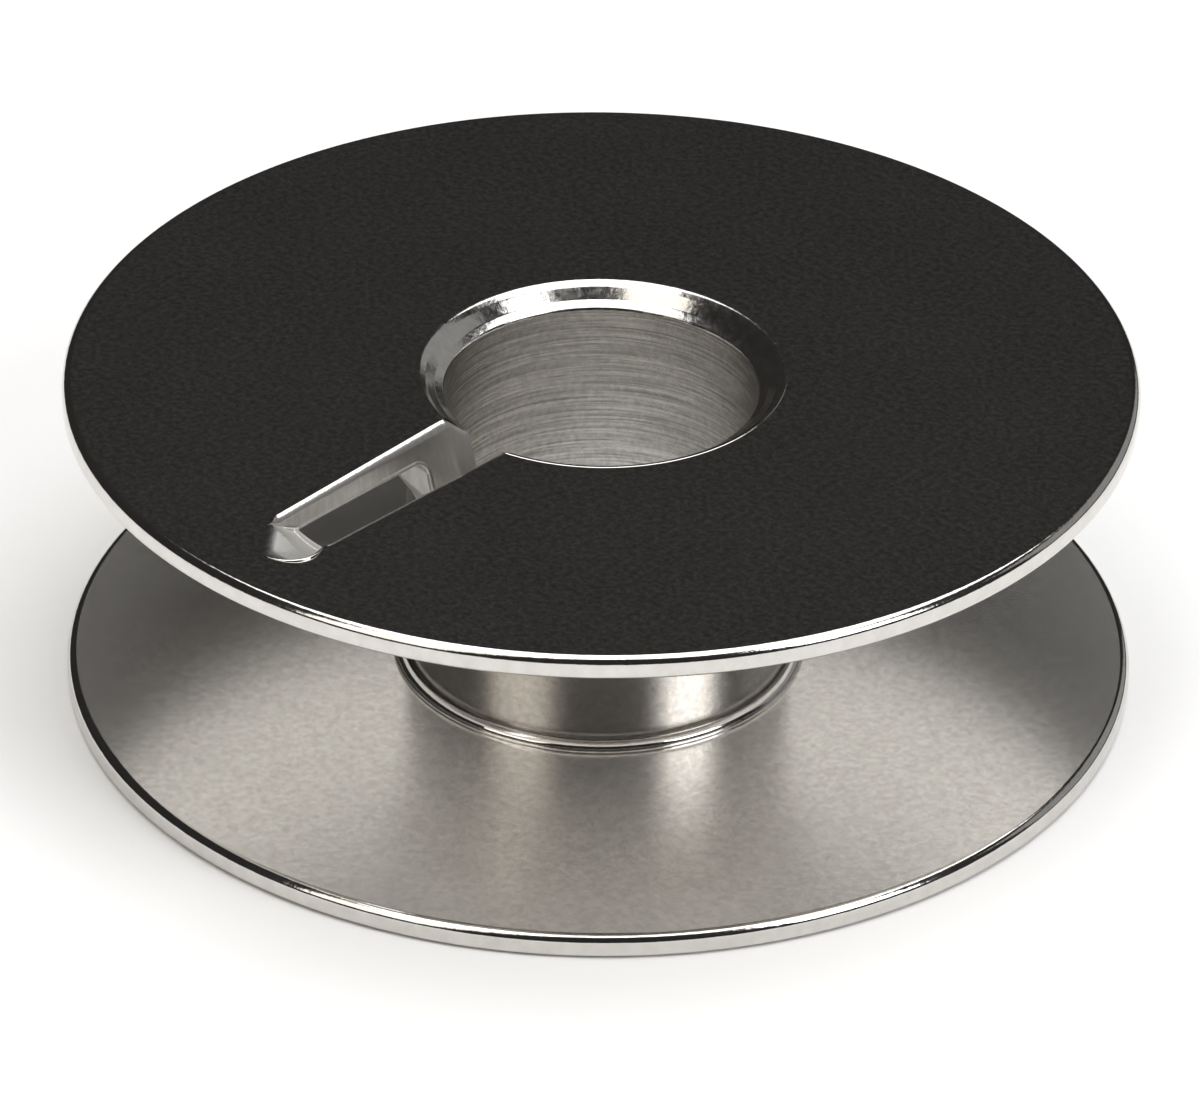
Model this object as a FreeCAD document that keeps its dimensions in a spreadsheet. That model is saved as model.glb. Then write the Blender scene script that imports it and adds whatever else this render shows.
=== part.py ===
import FreeCAD, Part
import math
import os
import Sketcher
from FreeCAD import Vector

# One-piece metal sewing machine bobbin, standing on its lower flange.
# The bore axis is +Z, the origin is the centre of the lower face, and the thread slot in the upper
# flange points to -Y.  All sizes are in millimetres.

SIZES = [
    # alias, value, what it measures
    ("flange_diameter", 26.0, "outer diameter of both flanges"),
    ("overall_height", 8.3, "outer face to outer face"),
    ("flange_thickness", 0.6, "both flanges"),
    ("rim_radius", 0.22, "rounding of each flange's upper edge"),
    ("rim_break", 0.15, "chamfer under each flange's edge"),
    ("hub_diameter", 9.4, "core that the thread is wound on"),
    ("relief_radius", 0.38, "hollow ring at the foot of the hub"),
    ("relief_depth", 0.05, "how far that ring dips into the lower flange"),
    ("web", 0.28, "sloped corner between hub and upper flange"),
    ("bore_diameter", 7.6, "hole for the winder spindle or the case post"),
    ("lip", 0.45, "countersink at both ends of the bore"),
    ("slot_width", 1.6, "thread slot, wall to wall"),
    ("slot_reach", 9.75, "axis to the outer end of the slot"),
    ("slot_depth", 1.2, "slot below the upper face"),
    ("slot_corner_radius", 0.2, "corners at the outer end of the slot"),
    ("slot_edge_radius", 0.12, "rounding of the slot's upper edges"),
    ("ramp_reach", 11.7, "axis to where the end ramp runs out"),
    ("ramp_depth", 0.56, "ramp below the upper face, at the slot's corners"),
    ("ramp_radius", 1.1, "hollow of the ramp across the slot"),
]

doc = FreeCAD.newDocument("bobbin")
sheet = doc.addObject("Spreadsheet::Sheet", "sizes")
for row, (alias, value, note) in enumerate(SIZES, start=1):
    sheet.set(f"A{row}", alias)
    sheet.set(f"B{row}", str(value))
    sheet.set(f"C{row}", note)
    sheet.setAlias(f"B{row}", alias)
doc.recompute()

body = doc.addObject("PartDesign::Body", "bobbin")
body.Label = "bobbin"


def size(alias):
    return float(sheet.get(alias))


def new_sketch(name, role):
    sketch = body.newObject("Sketcher::SketchObject", name)
    support = next(feature for feature in body.Origin.OriginFeatures if feature.Role == role)
    sketch.AttachmentSupport = [(support, "")]
    sketch.MapMode = "FlatFace"
    return sketch


def line(sketch, start, end):
    """Straight line, held level or upright when it is drawn so."""
    index = sketch.addGeometry(Part.LineSegment(Vector(*start), Vector(*end)), False)
    if start[1] == end[1]:
        sketch.addConstraint(Sketcher.Constraint("Horizontal", index))
    elif start[0] == end[0]:
        sketch.addConstraint(Sketcher.Constraint("Vertical", index))
    return index


def dimension(sketch, name, expression, kind, *where):
    """Dimension tied to the sheet."""
    value = float(sketch.evalExpression(expression))
    index = sketch.addConstraint(Sketcher.Constraint(kind, *where, value))
    sketch.renameConstraint(index, name)
    sketch.setExpression(f"Constraints.{name}", expression)


def join(sketch, *pairs):
    for first, first_end, second, second_end in pairs:
        sketch.addConstraint(Sketcher.Constraint("Coincident", first, first_end, second, second_end))


def dress(kind, name, alias, wanted):
    """Fillet or chamfer the edges of the body's tip that the test picks out."""
    doc.recompute()
    base = body.Tip
    edges = [f"Edge{i}" for i, edge in enumerate(base.Shape.Edges, start=1) if wanted(edge)]
    if not edges:
        raise RuntimeError(f"{name}: no such edge")
    feature = body.newObject(f"PartDesign::{kind}", name)
    feature.Base = (base, edges)
    feature.setExpression("Radius" if kind == "Fillet" else "Size", f"sizes.{alias}")
    doc.recompute()


def pocket(name, profile, length):
    feature = body.newObject("PartDesign::Pocket", name)
    feature.Profile = profile
    feature.setExpression("Length", length)
    return feature


def must_cut(feature):
    doc.recompute()
    if feature.Shape.isNull() or feature.Shape.Volume > feature.BaseFeature.Shape.Volume - 0.01:
        raise RuntimeError(f"{feature.Name} cuts nothing")


START, END, MIDDLE = range(1, 4)
ORIGIN = (-1, START)

# Half section of the turned piece: two flanges and the hub, with a hollow ring at the hub's foot and
# a sloped corner at its head.
flange_r = size("flange_diameter") / 2
hub_r = size("hub_diameter") / 2
bore_r = size("bore_diameter") / 2
top = size("overall_height")
floor = size("flange_thickness")
ceiling = top - floor
relief_r = size("relief_radius")
relief_z = floor - size("relief_depth") + relief_r
relief_turn = math.acos(1 - size("relief_depth") / relief_r)
relief_edge = hub_r + relief_r + relief_r * math.sin(relief_turn)
web_leg = size("web")

section = new_sketch("section", "XZ_Plane")
bottom_face = line(section, (bore_r, 0), (flange_r, 0))
lower_rim = line(section, (flange_r, 0), (flange_r, floor))
lower_wall = line(section, (flange_r, floor), (relief_edge, floor))
circle = Part.Circle(Vector(hub_r + relief_r, relief_z, 0), Vector(0, 0, 1), relief_r)
relief = section.addGeometry(Part.ArcOfCircle(circle, math.pi, 1.5 * math.pi + relief_turn), False)
hub = line(section, (hub_r, relief_z), (hub_r, ceiling - web_leg))
web = line(section, (hub_r, ceiling - web_leg), (hub_r + web_leg, ceiling))
upper_wall = line(section, (hub_r + web_leg, ceiling), (flange_r, ceiling))
upper_rim = line(section, (flange_r, ceiling), (flange_r, top))
top_face = line(section, (flange_r, top), (bore_r, top))
bore = line(section, (bore_r, top), (bore_r, 0))

join(section, (bottom_face, END, lower_rim, START), (lower_rim, END, lower_wall, START),
     (lower_wall, END, relief, END), (hub, END, web, START), (web, END, upper_wall, START),
     (upper_wall, END, upper_rim, START), (upper_rim, END, top_face, START),
     (top_face, END, bore, START), (bore, END, bottom_face, START))
section.addConstraint(Sketcher.Constraint("Tangent", relief, START, hub, START))
section.addConstraint(Sketcher.Constraint("Horizontal", *ORIGIN, bottom_face, START))

dimension(section, "bore_radius", "sizes.bore_diameter / 2", "DistanceX", *ORIGIN, bottom_face, START)
dimension(section, "lower_radius", "sizes.flange_diameter / 2", "DistanceX", *ORIGIN, lower_rim, START)
dimension(section, "upper_radius", "sizes.flange_diameter / 2", "DistanceX", *ORIGIN, upper_rim, START)
dimension(section, "hub_radius", "sizes.hub_diameter / 2", "DistanceX", *ORIGIN, hub, START)
dimension(section, "lower_flange", "sizes.flange_thickness", "DistanceY", *ORIGIN, lower_rim, END)
dimension(section, "upper_flange", "sizes.flange_thickness", "DistanceY", upper_rim, START, upper_rim, END)
dimension(section, "height", "sizes.overall_height", "DistanceY", *ORIGIN, upper_rim, END)
dimension(section, "web_width", "sizes.web", "DistanceX", web, START, web, END)
dimension(section, "web_height", "sizes.web", "DistanceY", web, START, web, END)
dimension(section, "relief", "sizes.relief_radius", "Radius", relief)
dimension(section, "relief_middle", "sizes.flange_thickness - sizes.relief_depth + sizes.relief_radius",
          "DistanceY", *ORIGIN, relief, MIDDLE)

turned = body.newObject("PartDesign::Revolution", "turned")
turned.Profile = section
turned.ReferenceAxis = (section, ["V_Axis"])
turned.Angle = 360.0


def is_ring(edge, radius, heights):
    """True for a full circle about the bore axis of this radius at one of these heights."""
    curve = edge.Curve
    return (isinstance(curve, Part.Circle) and edge.isClosed() and abs(curve.Radius - radius) < 1e-4
            and any(abs(curve.Center.z - height) < 1e-4 for height in heights))


# Rims rounded above and chamfered below, and a bore that is countersunk at both ends.
dress("Fillet", "rims", "rim_radius", lambda edge: is_ring(edge, flange_r, (floor, top)))
dress("Chamfer", "rim_breaks", "rim_break", lambda edge: is_ring(edge, flange_r, (0, ceiling)))
dress("Chamfer", "lips", "lip", lambda edge: is_ring(edge, bore_r, (0, top)))

# Thread slot: a straight cut from the bore through the upper flange and down into the hub wall.
slot_half = size("slot_width") / 2
slot_end = -size("slot_reach")

slot_plan = new_sketch("slot_plan", "XY_Plane")
slot_plan.setExpression("AttachmentOffset.Base.z", "sizes.overall_height")
left_wall = line(slot_plan, (-slot_half, 0), (-slot_half, slot_end))
end_wall = line(slot_plan, (-slot_half, slot_end), (slot_half, slot_end))
right_wall = line(slot_plan, (slot_half, slot_end), (slot_half, 0))
mouth = line(slot_plan, (slot_half, 0), (-slot_half, 0))
join(slot_plan, (left_wall, END, end_wall, START), (end_wall, END, right_wall, START),
     (right_wall, END, mouth, START), (mouth, END, left_wall, START))
slot_plan.addConstraint(Sketcher.Constraint("Horizontal", *ORIGIN, mouth, START))
dimension(slot_plan, "left", "sizes.slot_width / 2", "DistanceX", end_wall, START, *ORIGIN)
dimension(slot_plan, "right", "sizes.slot_width / 2", "DistanceX", *ORIGIN, end_wall, END)
dimension(slot_plan, "reach", "sizes.slot_reach", "DistanceY", end_wall, START, *ORIGIN)
must_cut(pocket("slot", slot_plan, "sizes.slot_depth"))


def is_slot_corner(edge):
    """Upright edge at the outer end of the slot."""
    box = edge.BoundBox
    return box.XLength < 1e-4 and box.YLength < 1e-4 and abs(box.Center.y - slot_end) < 1e-4


def is_slot_mouth(edge):
    """Edge of the slot at the upper face, or where a slot wall crosses the bore lip and the bore."""
    box = edge.BoundBox
    if box.YMax > 0 or box.YMin < slot_end - 1e-4 or max(-box.XMin, box.XMax) > slot_half + 1e-4:
        return False
    at_top = box.ZMin > top - 1e-4
    at_bore = box.XLength < 1e-4 and box.YMin > -bore_r - size("lip") and box.ZLength > 1e-4
    return at_top or at_bore


dress("Fillet", "slot_corners", "slot_corner_radius", is_slot_corner)
dress("Fillet", "slot_edges", "slot_edge_radius", is_slot_mouth)

# End ramp: a hollow that starts at the slot's outer corners and slopes up to the flange's face, so
# that the thread slides into the slot.  A circle on an upright plane is carried outward and upward.
ramp_section = new_sketch("ramp_section", "XZ_Plane")
ramp_section.setExpression("AttachmentOffset.Base.z", "sizes.slot_reach - sizes.slot_corner_radius")
ramp_middle = top - size("ramp_depth") + size("ramp_radius")
hollow = ramp_section.addGeometry(
    Part.Circle(Vector(0, ramp_middle, 0), Vector(0, 0, 1), size("ramp_radius")), False)
ramp_section.addConstraint(Sketcher.Constraint("Vertical", *ORIGIN, hollow, MIDDLE))
dimension(ramp_section, "hollow", "sizes.ramp_radius", "Radius", hollow)
dimension(ramp_section, "middle", "sizes.overall_height - sizes.ramp_depth + sizes.ramp_radius",
          "DistanceY", *ORIGIN, hollow, MIDDLE)

run_out = "sizes.ramp_reach - sizes.slot_reach + sizes.slot_corner_radius"
ramp = pocket("ramp", ramp_section, run_out)
ramp.UseCustomVector = True
ramp.AlongSketchNormal = True
ramp.setExpression("Direction.y", f"-({run_out})")
ramp.setExpression("Direction.z", "sizes.ramp_depth")
must_cut(ramp)

for obj in doc.Objects:
    if "Invalid" in obj.State or "Error" in obj.State:
        raise RuntimeError(f"{obj.Name}: {obj.State}")
if body.Shape.isNull() or not body.Shape.isValid() or len(body.Shape.Solids) != 1:
    raise RuntimeError(f"{body.Label} is not one valid solid")

os.makedirs("parts", exist_ok=True)
body.Shape.exportStep(f"parts/{body.Label}.step")
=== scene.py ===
import math

import bmesh
import bpy
import numpy as np
from mathutils import Matrix, Vector


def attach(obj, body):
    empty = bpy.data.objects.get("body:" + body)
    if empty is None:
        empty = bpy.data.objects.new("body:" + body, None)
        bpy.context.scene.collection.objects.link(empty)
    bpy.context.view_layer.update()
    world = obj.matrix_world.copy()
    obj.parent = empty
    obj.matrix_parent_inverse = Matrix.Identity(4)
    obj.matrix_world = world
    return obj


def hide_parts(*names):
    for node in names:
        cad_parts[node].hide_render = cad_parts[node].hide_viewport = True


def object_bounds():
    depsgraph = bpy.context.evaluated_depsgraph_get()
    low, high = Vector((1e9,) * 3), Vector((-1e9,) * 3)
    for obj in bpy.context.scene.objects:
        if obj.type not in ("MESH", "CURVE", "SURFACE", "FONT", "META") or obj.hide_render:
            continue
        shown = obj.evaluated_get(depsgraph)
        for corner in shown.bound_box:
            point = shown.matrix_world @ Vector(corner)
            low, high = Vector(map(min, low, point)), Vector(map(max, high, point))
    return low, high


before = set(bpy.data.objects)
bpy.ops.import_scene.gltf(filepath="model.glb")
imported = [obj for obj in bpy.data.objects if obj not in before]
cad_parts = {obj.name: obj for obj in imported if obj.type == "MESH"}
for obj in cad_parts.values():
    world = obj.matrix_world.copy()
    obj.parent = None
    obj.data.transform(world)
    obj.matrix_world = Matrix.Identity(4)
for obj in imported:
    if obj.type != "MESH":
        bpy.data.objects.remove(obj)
packed_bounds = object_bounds()

MM = 0.001

# Sizes in millimetres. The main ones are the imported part's, and the edges, lip and slot are finer here.
FLANGE_R = round(packed_bounds[1][0] / MM, 3)
HEIGHT = round(packed_bounds[1][2] / MM, 3)
THICK = 0.6
CEILING = HEIGHT - THICK
HUB_R = 4.7
BORE_R = 3.8
TURNS = 360

# Rounding of the flanges' edges, and the lead-in at the bore's lower end.
RIM = 0.22
RIM_UNDER = 0.17
LEAD_IN = 0.42

# Ring at the hub's foot: its radius, and its middle outward of the hub and above the lower flange.
FOOT_R = 0.19
FOOT_OUT = 0.15
FOOT_UP = 0.05

# Neck that swells from the hub to a collar, and the round between the collar and the upper flange.
NECK_LOW = 5.6
COLLAR_LOW = 6.8
COLLAR_R = 5.33
ROUND = 0.35

# Lip of the bore, a coined countersink: radius and tilt in degrees, from its outer edge inward. A fine
# bead comes first, then two facets with a steeper step between them, then a crisp edge at the bore.
LIP_R = [4.5, 4.492, 4.48, 4.468, 4.42, 4.39, 4.355, 4.27, 4.235, 4.03, 3.995, 3.835, 3.825, BORE_R]
LIP_TILT = [0, -20, -20, 0, 10, 20, 33, 35, 46, 47, 31, 28, 60, 72]
LIP_STEPS = 71

# Thread slot. It points to -Y, its right side is +X, and places along it are distances from the axis.
SLOT_HALF = 0.78
MOUTH_LEFT = 1.03
MOUTH_RIGHT = 0.83
TAPER_FROM = 10.4
TAPER_RUN = 6.0
SLOT_END = 9.75
SLOT_FLOOR = 6.7
WALL_LEVELS = [8.1, 8.03, 7.96, 7.89, 7.83]
FLOOR_LEVELS = [0.45, 0.3, 0.15, 0.05, 0]

# The slot's walls lean in below an upright strip, more and more toward the bore, and never meet.
SLOT_UPRIGHT = 0.12
LEAN = 0.4
LEAN_FROM = 9.5
LEAN_RUN = 5.2
HALF_LEAST = 0.1

# Upper edge of the slot's walls: a flat facet over a rounded flare. Both fade out at the slot's end, and
# near the bore by the distance from its wall.
FACET = 0.036
FACET_RUN = 2.6
EDGE_REACH = 0.17
EDGE_FLARE = 0.06
END_FADE_FROM = 10.15
END_FADE_RUN = 0.4
BORE_FADE_FROM = 0.06
BORE_FADE_RUN = 0.3

# Fine bead along the lower edge of the slot and the ramp: height, half width, and how far its middle lies
# above the flange's underside on each of them.
BEAD = 0.03
BEAD_HALF = 0.05
BEAD_UP = 0.04
BEAD_UP_RAMP = 0.03

# End ramp: where the slot's walls begin to end on it, its tip, its fall, and its bulging, rounded near edge.
RAMP_FROM = 9.6
RAMP_TIP = 11.67
RAMP_DEEP = 0.62
RAMP_WIDE = 0.97
RAMP_WIDEST = 10.9
RAMP_NOSE = 0.76
RAMP_BULGE = 0.63
NEAR_ROUND = 0.12

# Far edge of the ramp: a line from the slot's left wall to the tip, and the slope that starts there.
FAR_FROM = 10.6
FAR_RUN = 1.07
FAR_RISE = 0.88
FAR_LENGTH = 1.385
FAR_OUT = 0.05
FAR_SOFT = 1.2
FAR_STEEP = 1.7
FAR_LEAST = 0.002

# Beside the open slot the ramp sinks faster, after a soft start and as far as just past the left wall.
BESIDE_SINK = 0.65
BESIDE_SOFT = 0.2
BESIDE_EDGE = 0.85
BESIDE_BLEND = 0.07

# Near the tip the ramp's fall is gentler.
TIP_FROM = 11.05
TIP_RUN = 0.35
TIP_EASE = 0.6

# The ramp keeps a gap to the slot's walls. Past a place on its right, and the far edge's start on its left,
# it may be wider than the slot.
WIDER_FROM = 10.3
WIDER_RUN = 0.3
WIDER_BY = 0.6
WALL_GAP = 0.005

# Block that cuts the ramp: its reach inward of the slot's end, to the left and right and over the top.
BLOCK_BACK = 0.4
BLOCK_LEFT = -1.3
BLOCK_RIGHT = 1.0
BLOCK_OVER = 0.6
BLOCK_ROWS = 150
BLOCK_COLS = 139

# Stretches of the slot's cutter with the steps in each, finer where its wall bends most.
SLOT_RUNS = [(2.6, 5.15, 51), (5.15, 5.8, 40), (5.8, RAMP_FROM, 38), (RAMP_FROM, 10.57, 33)]

# Burr: a fine rolled edge along the near side of the ramp.
BURR_FROM = 10.4
BURR_TO = 11.64
BURR_R = 0.05
BURR_STEPS = 60
BURR_SIDES = 12

REGIONS = ["lower_face", "rim", "lower_wall", "foot", "hub", "collar", "upper_wall", "top_face", "lip",
           "bore", "slot_wall", "slot_edge", "slot_floor", "ramp", "burr"]
FLAT_REGIONS = ["lower_face", "lower_wall", "upper_wall", "top_face", "slot_floor"]


def soft_step(t):
    t = np.clip(t, 0, 1)
    return t * t * (3 - 2 * t)


def bead(t):
    """Half-round ridge, one unit high and wide."""
    return np.sqrt(np.clip(1 - t ** 2, 0, None))


def unit(vectors):
    return vectors / np.linalg.norm(vectors, axis=1)[:, None]


# Turned section: a closed run of segments, each with its points (radius, height) and outward normals.
def straight(a, b):
    step = np.array(b) - np.array(a)
    normal = np.array([step[1], -step[0]]) / np.hypot(*step)
    return np.array([a, b]), np.array([normal, normal])


def arc(centre, radius, start, stop, count, hollow=False):
    angle = np.radians(np.linspace(start, stop, count + 1))
    out = np.column_stack([np.cos(angle), np.sin(angle)])
    return np.array(centre) + radius * out, -out if hollow else out


def rim(base):
    """Outer edge of a flange whose lower face is at this height."""
    head = base + THICK
    return [
        arc((FLANGE_R - RIM_UNDER, base + RIM_UNDER), RIM_UNDER, -90, 0, 10),
        straight((FLANGE_R, base + RIM_UNDER), (FLANGE_R, head - RIM)),
        arc((FLANGE_R - RIM, head - RIM), RIM, 0, 90, 14),
    ]


def neck(count):
    """Smooth swell from the hub to its collar under the upper flange."""
    t = np.linspace(0, 1, count + 1)
    rise = COLLAR_LOW - NECK_LOW
    swell = COLLAR_R - HUB_R
    points = np.column_stack([HUB_R + swell * soft_step(t), NECK_LOW + rise * t])
    normals = np.column_stack([np.ones_like(t), -swell / rise * 6 * t * (1 - t)])
    return points, unit(normals)


foot_start = -math.asin(FOOT_UP / FOOT_R)
foot_stop = math.acos(-FOOT_OUT / FOOT_R)
foot_mid = (HUB_R + FOOT_OUT, THICK + FOOT_UP)
foot_edge = foot_mid[0] + FOOT_R * math.cos(foot_start)
foot_top = foot_mid[1] + FOOT_R * math.sin(foot_stop)

lip_r = np.linspace(LIP_R[0], BORE_R, LIP_STEPS)
lip_tilt = np.radians(np.interp(-lip_r, [-r for r in LIP_R], LIP_TILT))
lip_fall = np.tan((lip_tilt[1:] + lip_tilt[:-1]) / 2) * -np.diff(lip_r)
lip_drop = np.concatenate([[0], np.cumsum(lip_fall)])
lip_low = HEIGHT - float(lip_drop[-1])
upper_lip = (np.column_stack([lip_r, HEIGHT - lip_drop]),
             np.column_stack([-np.sin(lip_tilt), np.cos(lip_tilt)]))

SECTION = [
    ("lower_face", [straight((BORE_R + LEAD_IN, 0), (FLANGE_R - RIM_UNDER, 0))]),
    ("rim", rim(0)),
    ("lower_wall", [straight((FLANGE_R - RIM, THICK), (foot_edge, THICK))]),
    ("foot", [arc(foot_mid, FOOT_R, math.degrees(foot_start), math.degrees(foot_stop), 24)]),
    ("hub", [straight((HUB_R, foot_top), (HUB_R, NECK_LOW))]),
    ("collar", [neck(16),
                straight((COLLAR_R, COLLAR_LOW), (COLLAR_R, CEILING - ROUND)),
                arc((COLLAR_R + ROUND, CEILING - ROUND), ROUND, 180, 90, 12, hollow=True)]),
    ("upper_wall", [straight((COLLAR_R + ROUND, CEILING), (FLANGE_R - RIM_UNDER, CEILING))]),
    ("rim", rim(CEILING)),
    ("top_face", [straight((FLANGE_R - RIM, HEIGHT), (LIP_R[0], HEIGHT))]),
    ("lip", [upper_lip]),
    ("bore", [straight((BORE_R, lip_low), (BORE_R, LEAD_IN))]),
    ("lip", [arc((BORE_R + LEAD_IN, LEAD_IN), LEAD_IN, 180, 270, 14)]),
]


def mesh_object(name, points, faces, regions):
    """Mesh whose faces carry their region as a material index, which the cuts keep."""
    mesh = bpy.data.meshes.new(name)
    mesh.from_pydata([tuple(p) for p in points], [], faces)
    for region in REGIONS:
        mesh.materials.append(bpy.data.materials.get(region) or bpy.data.materials.new(region))
    mesh.polygons.foreach_set("material_index", [REGIONS.index(region) for region in regions])
    mesh.update()
    obj = bpy.data.objects.new(name, mesh)
    bpy.context.scene.collection.objects.link(obj)
    return obj


def turned_body():
    """The whole turned piece, before the slot is cut."""
    angles = np.linspace(0, 2 * math.pi, TURNS, endpoint=False)
    ring = np.stack([np.cos(angles), np.sin(angles)], axis=1)
    rows, tags = [], []
    for region, parts in SECTION:
        for points, _ in parts:
            for point in points[:-1]:
                rows.append(point)
                tags.append(region)
    verts = np.concatenate([np.column_stack([ring * r, np.full(TURNS, z)]) for r, z in rows])
    faces, regions = [], []
    for i, tag in enumerate(tags):
        low, high = i * TURNS, (i + 1) % len(rows) * TURNS
        for j in range(TURNS):
            k = (j + 1) % TURNS
            faces.append((low + j, low + k, high + k, high + j))
            regions.append(tag)
    return mesh_object("turned", verts, faces, regions)


# Thread slot: s is the place along it, z the height and side above zero on its right.
def slot_half(s, side):
    """Half width of the slot at the top face."""
    mouth = np.where(np.asarray(side) > 0, MOUTH_RIGHT, MOUTH_LEFT)
    return SLOT_HALF + (mouth - SLOT_HALF) * np.clip((TAPER_FROM - s) / TAPER_RUN, 0, 1)


def slot_lean(s):
    """Inward run of the wall for each unit of depth."""
    return LEAN * np.clip((LEAN_FROM - s) / LEAN_RUN, 0, 1) ** 1.5


def metal(r, z):
    """Depth into the metal from the flange's underside and the round that leads down to the collar."""
    inward, upward = COLLAR_R + ROUND - r, z - CEILING + ROUND
    corner = (inward > 0) & (upward > 0)
    return np.where(corner, np.hypot(inward, upward), np.maximum(inward, upward)) - ROUND


def skin_height(s, side):
    """Height of the top face or the lip over the slot's wall."""
    return HEIGHT - np.interp(-np.hypot(slot_half(s, side), s), -lip_r, lip_drop)


def slot_wall(s, z, side):
    """Distance from the slot's middle plane to its wall."""
    half = slot_half(s, side)
    wall = np.maximum(half - slot_lean(s) * np.clip(HEIGHT - z - SLOT_UPRIGHT, 0, None), HALF_LEAST)
    depth = skin_height(s, side) - z
    fade = 1 - soft_step((s - END_FADE_FROM) / END_FADE_RUN)
    fade = fade * soft_step((np.hypot(half, s) - BORE_R - BORE_FADE_FROM) / BORE_FADE_RUN)
    flare = EDGE_FLARE * np.clip((EDGE_REACH - depth) / (EDGE_REACH - FACET), 0, 1) ** 2
    flare = flare + FACET_RUN * np.clip(FACET - depth, 0, None)
    return wall + flare * fade - BEAD * bead((metal(np.hypot(half, s), z) - BEAD_UP) / BEAD_HALF)


def slot_levels(s, side):
    """Heights of one column of points down the slot's wall."""
    skin = float(skin_height(s, side))
    upper = [skin - d for d in (-0.03, 0, FACET / 2, FACET, *np.linspace(FACET, EDGE_REACH, 7)[1:])]
    lower = WALL_LEVELS + [CEILING + h for h in np.linspace(0.1, -0.4, 31)]
    lower = lower + [SLOT_FLOOR + h for h in FLOOR_LEVELS]
    levels = upper + [min(z, upper[-1] - 1e-3 * (k + 1)) for k, z in enumerate(lower)]
    if s > RAMP_FROM:
        end = HEIGHT - float(np.clip(ramp_hollow(s, -slot_half(s, -1)), 0, None))
        levels = [max(z, end - 1e-3 * k / len(levels)) if k > 1 else z for k, z in enumerate(levels)]
    return levels


def wall_column(s, side):
    return [(side * float(slot_wall(s, z, side)), -s, z) for z in slot_levels(s, side)]


def slot_cutter():
    """Rings across the slot, each down its right wall and up its left one."""
    run = [np.linspace(start, stop, count, endpoint=False) for start, stop, count in SLOT_RUNS]
    run = np.append(np.concatenate(run), SLOT_RUNS[-1][1])
    rings, verts = [], []
    for s in run:
        ring = wall_column(s, 1) + wall_column(s, -1)[::-1]
        rings.append(range(len(verts), len(verts) + len(ring)))
        verts += ring
    count = len(rings[0])
    faces, regions = [], []
    for a, b in zip(rings, rings[1:]):
        for k in range(count):
            m = (k + 1) % count
            faces.append((a[k], a[m], b[m], b[k]))
            if k in (count // 2 - 1, count - 1):
                regions.append("slot_floor")
            elif min(k, count - 2 - k) < 3:
                regions.append("slot_edge")
            else:
                regions.append("slot_wall")
    faces += [tuple(rings[0]), tuple(rings[-1])[::-1]]
    regions += ["slot_floor", "slot_floor"]
    return mesh_object("slot_cutter", verts, faces, regions)


# End ramp: a scoop that falls from the top face to the underside, at s along the slot and n across it.
def ramp_near(s):
    """Near edge of the scoop: it bulges past the slot's wall, then rounds to the tip."""
    rounded = RAMP_WIDE * np.sqrt(np.clip(1 - ((s - RAMP_WIDEST) / RAMP_NOSE) ** 2, 1e-4, 1))
    bulge = np.maximum(SLOT_HALF, RAMP_WIDE - RAMP_BULGE * (RAMP_WIDEST - s) ** 2)
    return np.where(s > RAMP_WIDEST, rounded, bulge)


def ramp_hollow(s, n):
    """Depth of the scoop, below zero outside its outline."""
    far = ((n + SLOT_HALF) * FAR_RUN - (s - FAR_FROM) * FAR_RISE) / FAR_LENGTH + FAR_OUT
    eased = far - FAR_SOFT * (1 - np.exp(-np.abs(far) / FAR_SOFT))
    slope = np.where(far > 0, eased, 0) * FAR_STEEP + FAR_LEAST * far
    beside = np.clip(FAR_FROM - s, 0, None)
    sink = BESIDE_SINK * beside ** 2 / (beside + BESIDE_SOFT)
    slope = slope + sink * np.clip((n + BESIDE_EDGE) / BESIDE_BLEND, 0, 1)
    fall = RAMP_DEEP * (RAMP_TIP - s) / (RAMP_TIP - SLOT_END)
    fall = fall * (1 - TIP_EASE * soft_step((s - TIP_FROM) / TIP_RUN))
    # The lesser of slope and fall, with a soft change between them and a rounded near edge. Outside the
    # outline it is a little below zero, so that the block stays clear of the top face.
    both = slope * fall / np.clip((slope ** 4 + fall ** 4) ** 0.25, 1e-6, None)
    near = ramp_near(s)
    edge = np.clip((near - n) / NEAR_ROUND, 0, 1) ** 0.5
    scoop = np.where((far > 0) & (fall > 0), both * edge, -0.01)
    return np.where(n > near, -0.3 * (n - near) - 0.005, scoop)


def ramp_depth(s, n):
    """The scoop, kept inside the slot's walls where the slot is still open beside it."""
    wider_from = np.where(n > 0, WIDER_FROM, FAR_FROM)
    limit = slot_half(s, n) - WALL_GAP + WIDER_BY * np.clip((s - wider_from) / WIDER_RUN, 0, 1)
    depth = ramp_hollow(s, n)
    depth = depth - BEAD * bead((depth - THICK + BEAD_UP_RAMP) / BEAD_HALF)
    return np.clip(np.minimum(depth, (limit - np.abs(n)) * 8), -0.2, None)


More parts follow.
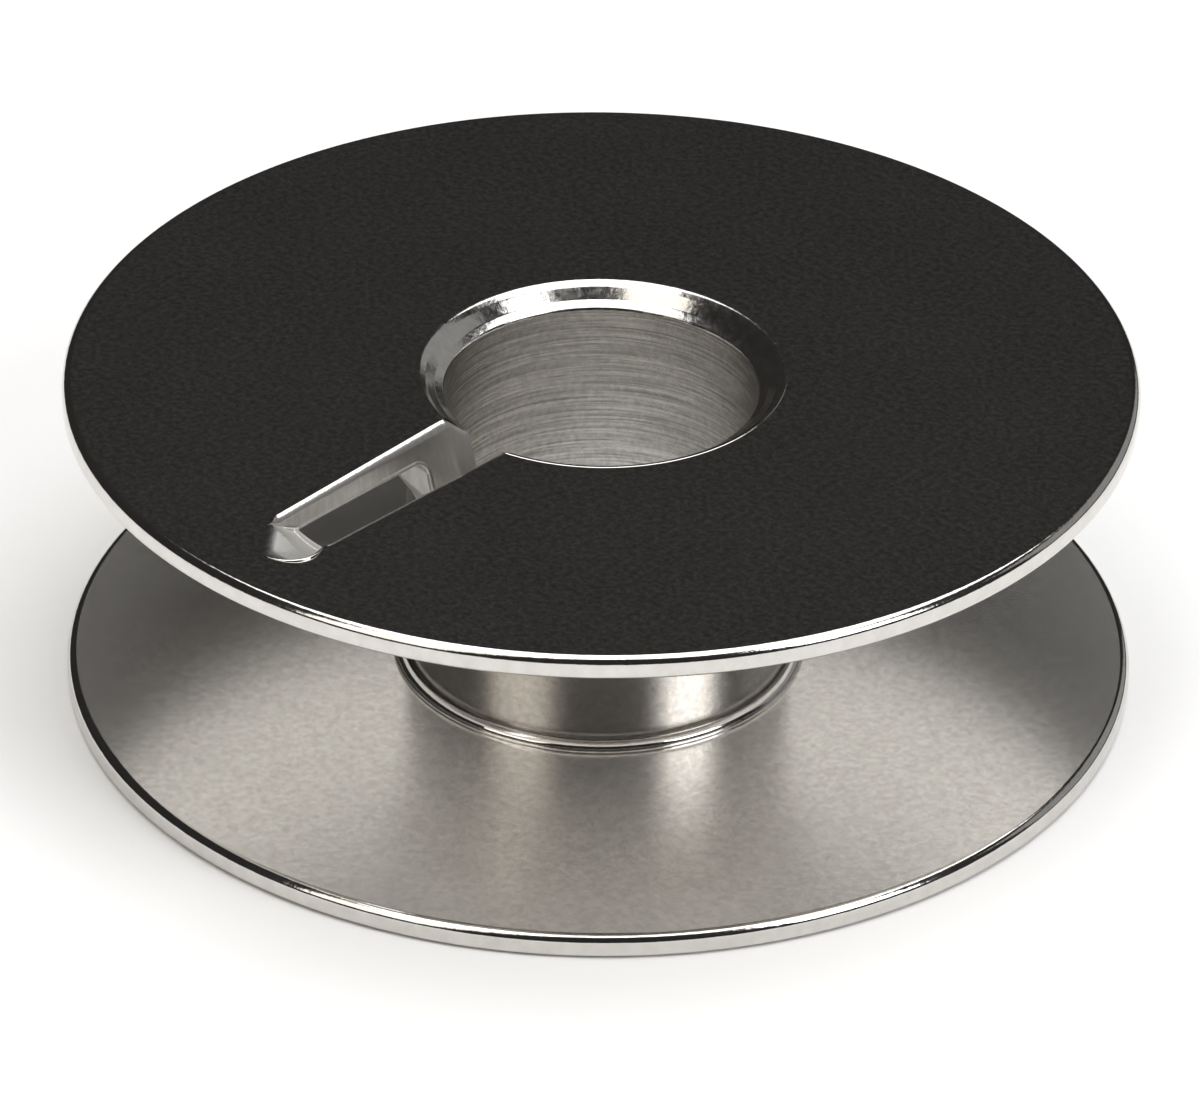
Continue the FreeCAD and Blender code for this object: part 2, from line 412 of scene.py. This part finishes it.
def ramp_cutter():
    """Block over the top face, with the scoop as its lower side."""
    s = np.linspace(SLOT_END - BLOCK_BACK, RAMP_TIP, BLOCK_ROWS)
    n = np.linspace(BLOCK_LEFT, BLOCK_RIGHT, BLOCK_COLS)
    grid_s, grid_n = np.meshgrid(s, n, indexing="ij")
    depth = ramp_depth(grid_s, grid_n)
    depth[-1] = -0.05
    low = np.column_stack([grid_n.ravel(), -grid_s.ravel(), HEIGHT - depth.ravel()])
    high = low.copy()
    high[:, 2] = HEIGHT + BLOCK_OVER
    rows, cols = BLOCK_ROWS, BLOCK_COLS

    def at(i, j, layer=0):
        return layer * rows * cols + i * cols + j

    faces = []
    for i in range(rows - 1):
        for j in range(cols - 1):
            faces.append((at(i, j), at(i, j + 1), at(i + 1, j + 1), at(i + 1, j)))
    border = [(i, 0) for i in range(rows)]
    border += [(rows - 1, j) for j in range(1, cols)]
    border += [(i, cols - 1) for i in range(rows - 2, -1, -1)]
    border += [(0, j) for j in range(cols - 2, 0, -1)]
    for a, b in zip(border, border[1:] + border[:1]):
        faces.append((at(*a), at(*b), at(*b, 1), at(*a, 1)))
    faces.append(tuple(at(*p, 1) for p in border))
    return mesh_object("ramp_cutter", np.concatenate([low, high]), faces, ["ramp"] * len(faces))


# Burr: its middle line and its radius along it, thickest halfway.
burr_s = np.linspace(BURR_FROM, BURR_TO, BURR_STEPS)
burr_line = np.column_stack([ramp_near(burr_s), -burr_s, np.full(BURR_STEPS, HEIGHT)])
burr_thick = BURR_R * np.sin(np.linspace(0.05, math.pi - 0.05, BURR_STEPS)) ** 0.7


def burr_tube():
    verts, faces = [], []
    along = unit(np.gradient(burr_line, axis=0))
    for middle, thick, (dx, dy, _) in zip(burr_line, burr_thick, along):
        for turn in np.linspace(0, 2 * math.pi, BURR_SIDES, endpoint=False):
            out = np.array([dy * math.cos(turn), -dx * math.cos(turn), math.sin(turn)])
            verts.append(middle + thick * out)
    last = (BURR_STEPS - 1) * BURR_SIDES
    for ring in range(0, last, BURR_SIDES):
        for k in range(BURR_SIDES):
            m = (k + 1) % BURR_SIDES
            faces.append((ring + k, ring + m, ring + BURR_SIDES + m, ring + BURR_SIDES + k))
    faces += [tuple(range(BURR_SIDES))[::-1], tuple(range(last, last + BURR_SIDES))]
    return mesh_object("burr_tube", verts, faces, ["burr"] * len(faces))


# Cuts: the slot and the ramp come off the turned body, and the burr is joined to it.
def tidy_tool(obj):
    """Triangles only, with every face looking outward."""
    bm = bmesh.new()
    bm.from_mesh(obj.data)
    bmesh.ops.triangulate(bm, faces=bm.faces[:])
    bmesh.ops.recalc_face_normals(bm, faces=bm.faces[:])
    open_edges = sum(1 for edge in bm.edges if len(edge.link_faces) != 2)
    bm.to_mesh(obj.data)
    bm.free()
    if open_edges:
        raise RuntimeError(f"{obj.name} has {open_edges} open edges")


def cut_body():
    body = turned_body()
    tools = [slot_cutter(), ramp_cutter(), burr_tube()]
    for tool, operation in zip(tools, ("DIFFERENCE", "DIFFERENCE", "UNION")):
        tidy_tool(tool)
        modifier = body.modifiers.new(tool.name, "BOOLEAN")
        modifier.operation = operation
        modifier.solver = "EXACT"
        modifier.material_mode = "INDEX"
        modifier.object = tool
    depsgraph = bpy.context.evaluated_depsgraph_get()
    mesh = bpy.data.meshes.new_from_object(body.evaluated_get(depsgraph))
    for obj in [body] + tools:
        bpy.data.objects.remove(obj)
    return mesh


# Exact normals for every corner, by the region that its face belongs to.
def turned_normals(region, points):
    dense = []
    for name, parts in SECTION:
        if name == region:
            for p, q in parts:
                t = np.linspace(0, len(p) - 1, (len(p) - 1) * 30 + 1)
                columns = [np.interp(t, np.arange(len(p)), c) for c in (*p.T, *q.T)]
                dense.append(np.column_stack(columns))
    dense = np.concatenate(dense)
    r = np.hypot(points[:, 0], points[:, 1])
    flat = np.empty((len(points), 2))
    for start in range(0, len(points), 2000):
        part = slice(start, start + 2000)
        gap = (r[part, None] - dense[:, 0]) ** 2 + (points[part, 2, None] - dense[:, 1]) ** 2
        flat[part] = dense[np.argmin(gap, axis=1), 2:]
    flat = unit(flat)
    return np.column_stack([flat[:, 0] * points[:, 0] / r, flat[:, 0] * points[:, 1] / r, flat[:, 1]])


def slot_normals(points):
    step = 2e-5
    s, z = -points[:, 1], points[:, 2]
    side = np.sign(points[:, 0])
    along = (slot_wall(s + step, z, side) - slot_wall(s - step, z, side)) / (2 * step)
    down = (slot_wall(s, z + step, side) - slot_wall(s, z - step, side)) / (2 * step)
    return unit(np.column_stack([-side, -along, down]))


def ramp_normals(points):
    step = 1e-4
    s, n = -points[:, 1], points[:, 0]
    across = (ramp_depth(s, n + step) - ramp_depth(s, n - step)) / (2 * step)
    along = (ramp_depth(s - step, n) - ramp_depth(s + step, n)) / (2 * step)
    return unit(np.column_stack([across, along, np.ones_like(across)]))


def burr_normals(points):
    nearest = np.argmin(((points[:, None] - burr_line) ** 2).sum(axis=2), axis=1)
    away = points - burr_line[nearest]
    return away / np.clip(np.linalg.norm(away, axis=1), 1e-9, None)[:, None]


def region_normals(region, points):
    if region in ("slot_wall", "slot_edge"):
        return slot_normals(points)
    if region == "ramp":
        return ramp_normals(points)
    if region == "burr":
        return burr_normals(points)
    return turned_normals(region, points)


def corner_normals(mesh, coords):
    count = len(mesh.loops)
    corner_vertex = np.empty(count, dtype=np.int32)
    mesh.loops.foreach_get("vertex_index", corner_vertex)
    corner_region = np.empty(count, dtype=np.int32)
    normals = np.empty((count, 3))
    for polygon in mesh.polygons:
        corners = slice(polygon.loop_start, polygon.loop_start + polygon.loop_total)
        corner_region[corners] = polygon.material_index
        normals[corners] = polygon.normal
    for number, region in enumerate(REGIONS):
        if region not in FLAT_REGIONS:
            pick = corner_region == number
            used, back_to = np.unique(corner_vertex[pick], return_inverse=True)
            normals[pick] = region_normals(region, coords[used])[back_to]
    return normals


# Nickel in several finishes. The hub, slot and collar carry painted shade in their darker colours, and the
# ramp carries painted light.
class Nodes:
    """A metal's node tree, written one node to a line. Coordinates are the object's own, in metres."""

    def __init__(self, name):
        self.material = bpy.data.materials.new(name)
        self.material.use_nodes = True
        self.tree = self.material.node_tree
        self.tree.nodes.clear()
        self.bsdf = self.add("ShaderNodeBsdfPrincipled", Metallic=1.0)
        out = self.add("ShaderNodeOutputMaterial")
        self.link(self.bsdf.outputs["BSDF"], out.inputs["Surface"])
        self.object = self.add("ShaderNodeTexCoord").outputs["Object"]

    def add(self, kind, settings=None, **inputs):
        """New node. An input is named by its label, or by its number after an underscore."""
        node = self.tree.nodes.new(kind)
        for key, value in (settings or {}).items():
            setattr(node, key, value)
        for key, value in inputs.items():
            socket = node.inputs[int(key[1:]) if key[0] == "_" else key.replace("_", " ")]
            if isinstance(value, bpy.types.NodeSocket):
                self.link(value, socket)
            else:
                socket.default_value = value
        return node

    def link(self, source, target):
        self.tree.links.new(source, target)

    def noise(self, vector, scale, detail, rough=0.55):
        return self.add("ShaderNodeTexNoise", Vector=vector, Scale=scale, Detail=detail,
                        Roughness=rough).outputs["Fac"]

    def remap(self, value, low, high, to_low, to_high):
        return self.add("ShaderNodeMapRange", Value=value, From_Min=low, From_Max=high, To_Min=to_low,
                        To_Max=to_high).outputs["Result"]

    def spread(self, noise, low=0.0, high=1.0):
        """The middle part of a noise's range, where most of it lies, over another range."""
        return self.remap(noise, 0.3, 0.7, low, high)

    def math(self, operation, a, b):
        return self.add("ShaderNodeMath", {"operation": operation}, _0=a, _1=b).outputs["Value"]

    def split(self):
        return self.add("ShaderNodeSeparateXYZ", Vector=self.object).outputs

    def stretched(self, *scales):
        return self.add("ShaderNodeVectorMath", {"operation": "MULTIPLY"}, _0=self.object,
                        _1=scales).outputs["Vector"]

    def around(self, turn_scale, height_scale):
        """Coordinates along the turning direction and up the axis."""
        xyz = self.split()
        angle = self.math("ARCTAN2", xyz["X"], xyz["Y"])
        return self.add("ShaderNodeCombineXYZ", X=self.math("MULTIPLY", angle, turn_scale),
                        Y=self.math("MULTIPLY", xyz["Z"], height_scale)).outputs["Vector"]

    def colour(self, value, dark, light):
        mix = self.add("ShaderNodeMix", {"data_type": "RGBA"}, _0=value, _6=(*dark, 1), _7=(*light, 1))
        self.link(mix.outputs[2], self.bsdf.inputs["Base Color"])

    def rough(self, value):
        if isinstance(value, float):
            self.bsdf.inputs["Roughness"].default_value = value
        else:
            self.link(value, self.bsdf.inputs["Roughness"])

    def bump(self, height, distance):
        normal = self.add("ShaderNodeBump", Height=height, Distance=distance).outputs["Normal"]
        self.link(normal, self.bsdf.inputs["Normal"])


FACE_DARK = (0.42, 0.406, 0.392)
FACE_LIGHT = (0.96, 0.94, 0.905)
FACE_ROUGH = 0.145


def face_finish():
    n = Nodes("nickel_face")
    grain = n.noise(n.object, 6500.0, 3.0, 0.7)
    n.colour(n.spread(grain), FACE_DARK, FACE_LIGHT)
    n.rough(n.spread(n.noise(n.object, 400.0, 2.0), FACE_ROUGH - 0.005, FACE_ROUGH + 0.005))
    return n.material


def inside_finish():
    n = Nodes("nickel_inside")
    grain = n.noise(n.object, 6000.0, 3.0, 0.65)
    n.colour(n.spread(grain), (0.68, 0.662, 0.634), (0.885, 0.862, 0.827))
    n.rough(0.22)
    n.bsdf.inputs["Metallic"].default_value = 0.86
    return n.material


def polished_finish(name, wave_scale, wave, low, high):
    n = Nodes(name)
    ripple = n.noise(n.object, wave_scale, 4.0, 0.6)
    n.colour(n.spread(ripple), (0.61, 0.59, 0.565), (0.69, 0.67, 0.645))
    n.rough(n.spread(n.noise(n.object, 6000.0, 2.0), low, high))
    n.bump(ripple, wave)
    return n.material


def bore_finish():
    n = Nodes("nickel_bore")
    streak = n.noise(n.around(1.1, 14000.0), 1.0, 2.0, 0.6)
    grain = n.noise(n.object, 7000.0, 2.0, 0.6)
    both = n.math("ADD", n.math("MULTIPLY", streak, 0.72), n.math("MULTIPLY", grain, 0.28))
    n.colour(n.remap(both, 0.36, 0.64, 0.0, 1.0), (0.39, 0.376, 0.357), (0.84, 0.82, 0.79))
    n.rough(n.spread(streak, 0.32, 0.24))
    return n.material


def hub_finish_with_painted_shade():
    n = Nodes("nickel_hub_painted_shade")
    grain = n.noise(n.object, 6500.0, 3.0, 0.65)
    # Painted shade: the hub's nickel is coloured darker than the flanges' to stand for its shade between
    # them.
    n.colour(n.spread(grain), (0.37, 0.357, 0.341), (0.47, 0.454, 0.433))
    n.rough(0.26)
    return n.material


def streaked_finish_with_painted_shade(name, low, high):
    n = Nodes(name)
    streak = n.noise(n.stretched(2500.0, 6000.0, 1500.0), 1.0, 4.0, 0.6)
    # Painted shade: darker nickel for the slot's channel and the collar under the upper flange, where shade
    # falls.
    n.colour(n.spread(streak), (0.42, 0.405, 0.385), (0.54, 0.52, 0.495))
    n.rough(n.spread(streak, high, low))
    return n.material


def ramp_finish():
    """Like the top face at the ramp's edge, then duller just below it, and lighter there by painted light.
    """
    n = Nodes("nickel_ramp_painted_light")
    height = n.split()["Z"]
    top, below = HEIGHT * MM, (HEIGHT - 0.06) * MM
    grain = n.noise(n.stretched(9000.0, 1500.0, 3000.0), 1.0, 3.0, 0.7)
    # Painted light: the colour grows lighter with depth just below the ramp's edge.
    painted_light_below_edge = n.remap(height, top, below, 0.0, 0.7)
    n.colour(n.math("ADD", n.spread(grain, 0.0, 0.9), painted_light_below_edge), FACE_DARK, FACE_LIGHT)
    n.rough(n.remap(height, top, below, FACE_ROUGH, 0.45))
    return n.material


finishes = {
    "face": face_finish(),
    "inside": inside_finish(),
    "rim": polished_finish("nickel_rim", 2600.0, 7e-6, 0.07, 0.13),
    "lip": polished_finish("nickel_lip", 3600.0, 8e-6, 0.1, 0.2),
    "bore": bore_finish(),
    "hub": hub_finish_with_painted_shade(),
    "slot": streaked_finish_with_painted_shade("nickel_slot_painted_shade", 0.34, 0.4),
    "collar": streaked_finish_with_painted_shade("nickel_collar_painted_shade", 0.48, 0.54),
    "ramp": ramp_finish(),
}
FINISH_OF = {
    "lower_face": "inside", "rim": "rim", "lower_wall": "inside", "foot": "rim", "hub": "hub",
    "collar": "collar", "upper_wall": "inside", "top_face": "face", "lip": "lip", "bore": "bore",
    "slot_wall": "slot", "slot_edge": "lip", "slot_floor": "slot", "ramp": "ramp", "burr": "rim",
}


# The bobbin: cut, given its normals and finishes, and scaled to metres.
def make_bobbin():
    mesh = cut_body()
    mesh.name = "bobbin_body"
    coords = np.empty(len(mesh.vertices) * 3)
    mesh.vertices.foreach_get("co", coords)
    normals = corner_normals(mesh, coords.reshape(-1, 3))
    slots = list(finishes)
    finish_of_region = [slots.index(FINISH_OF[region]) for region in REGIONS]
    face_finishes = [finish_of_region[polygon.material_index] for polygon in mesh.polygons]
    mesh.vertices.foreach_set("co", coords * MM)
    mesh.materials.clear()
    for material in finishes.values():
        mesh.materials.append(material)
    mesh.polygons.foreach_set("material_index", face_finishes)
    mesh.polygons.foreach_set("use_smooth", [True] * len(mesh.polygons))
    mesh.update()
    mesh.normals_split_custom_set([tuple(v) for v in normals])
    for region in REGIONS:
        bpy.data.materials.remove(bpy.data.materials[region])
    obj = bpy.data.objects.new("bobbin_body", mesh)
    bpy.context.scene.collection.objects.link(obj)
    return obj


bobbin = make_bobbin()
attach(bobbin, "root")
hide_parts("bobbin")

# Camera: a long lens that looks down from the slot's +X side, fitted to the photo's 1200 pixels across.
VIEW_TURN = math.radians(42.8)
VIEW_TILT = math.radians(31.64)
VIEW_ROLL = math.radians(0.663)
VIEW_DISTANCE = 239.1
FOCAL_PIXELS = 9813.0
PICTURE_PIXELS = 1200.0
SENSOR_WIDTH = 36.0
RIGHT = Vector((math.cos(VIEW_TURN), math.sin(VIEW_TURN), 0))
FORWARD = Vector((-math.sin(VIEW_TURN), math.cos(VIEW_TURN), 0))
UP = Vector((0, 0, 1))
VIEW_TARGET = RIGHT * 0.013 * MM + UP * 3.27 * MM


def add_camera():
    back = -FORWARD * math.cos(VIEW_TILT) + UP * math.sin(VIEW_TILT)
    level_up = FORWARD * math.sin(VIEW_TILT) + UP * math.cos(VIEW_TILT)
    right = RIGHT * math.cos(VIEW_ROLL) + level_up * math.sin(VIEW_ROLL)
    up = level_up * math.cos(VIEW_ROLL) - RIGHT * math.sin(VIEW_ROLL)
    camera = bpy.data.cameras.new("camera")
    camera.sensor_width = SENSOR_WIDTH
    camera.lens = FOCAL_PIXELS / PICTURE_PIXELS * SENSOR_WIDTH
    camera.clip_start, camera.clip_end = 0.01, 10.0
    obj = bpy.data.objects.new("camera", camera)
    obj.matrix_world = Matrix((right, up, back)).transposed().to_4x4()
    obj.location = VIEW_TARGET + back * VIEW_DISTANCE * MM
    bpy.context.scene.collection.objects.link(obj)
    bpy.context.scene.camera = obj


# Floor and soft boxes, in metres.
FLOOR_R = 0.6
FLOOR_Z = -2e-5
FLOOR_WHITE = (0.95, 0.95, 0.95, 1)
BOX_AWAY = 0.6
HEART = UP * 4 * MM
OVERHEAD = RIGHT * 0.05 + FORWARD * 0.085
WARM = (1.0, 0.95, 0.88)
ROOM = (0.028, 0.0271, 0.0258, 1)


def floor_paint():
    material = bpy.data.materials.new("floor_white")
    material.use_nodes = True
    shader = material.node_tree.nodes["Principled BSDF"]
    shader.inputs["Base Color"].default_value = FLOOR_WHITE
    shader.inputs["Roughness"].default_value = 0.9
    shader.inputs["Specular IOR Level"].default_value = 0.0
    return material


def floor_disc(sides=96):
    points = [(FLOOR_R * math.cos(a), FLOOR_R * math.sin(a), FLOOR_Z)
              for a in np.linspace(0, 2 * math.pi, sides, endpoint=False)]
    mesh = bpy.data.meshes.new("floor")
    mesh.from_pydata(points, [], [tuple(range(sides))])
    mesh.materials.append(floor_paint())
    obj = bpy.data.objects.new("floor", mesh)
    bpy.context.scene.collection.objects.link(obj)
    return obj


def soft_box(name, place, wide, high, radiance, tint=(1, 1, 1)):
    """Rectangular lamp with the same brightness at any size."""
    light = bpy.data.lights.new(name, "AREA")
    light.shape = "RECTANGLE"
    light.size, light.size_y = wide, high
    light.energy = 4 * radiance * wide * high
    light.color = tint
    obj = bpy.data.objects.new(name, light)
    obj.location = place
    obj.rotation_mode = "QUATERNION"
    obj.rotation_quaternion = (HEART - place).to_track_quat("-Z", "Y")
    obj.visible_camera = False
    bpy.context.scene.collection.objects.link(obj)
    return obj


def bearing(turn, rise):
    """Place for a lamp by its angle from the camera, positive to the right, and its height angle."""
    turn, rise = math.radians(turn), math.radians(rise)
    level = -FORWARD * math.cos(turn) + RIGHT * math.sin(turn)
    return HEART + (level * math.cos(rise) + UP * math.sin(rise)) * BOX_AWAY


add_camera()
floor = floor_disc()

overhead = soft_box("overhead", OVERHEAD + UP * 0.5, wide=0.52, high=0.61, radiance=2.15)
overhead.rotation_quaternion = Matrix((RIGHT, FORWARD, UP)).transposed().to_quaternion()
soft_box("right_box", bearing(56, 36), wide=0.28, high=0.32, radiance=4.2)
soft_box("left_box", bearing(-47, 45), wide=0.34, high=0.6, radiance=1.4, tint=WARM)
soft_box("right_fill", bearing(125, 24), wide=0.6, high=0.36, radiance=0.24)

world = bpy.data.worlds.new("room")
world.use_nodes = True
world.node_tree.nodes["Background"].inputs["Color"].default_value = ROOM
bpy.context.scene.world = world
bpy.context.scene.view_settings.view_transform = "Standard"
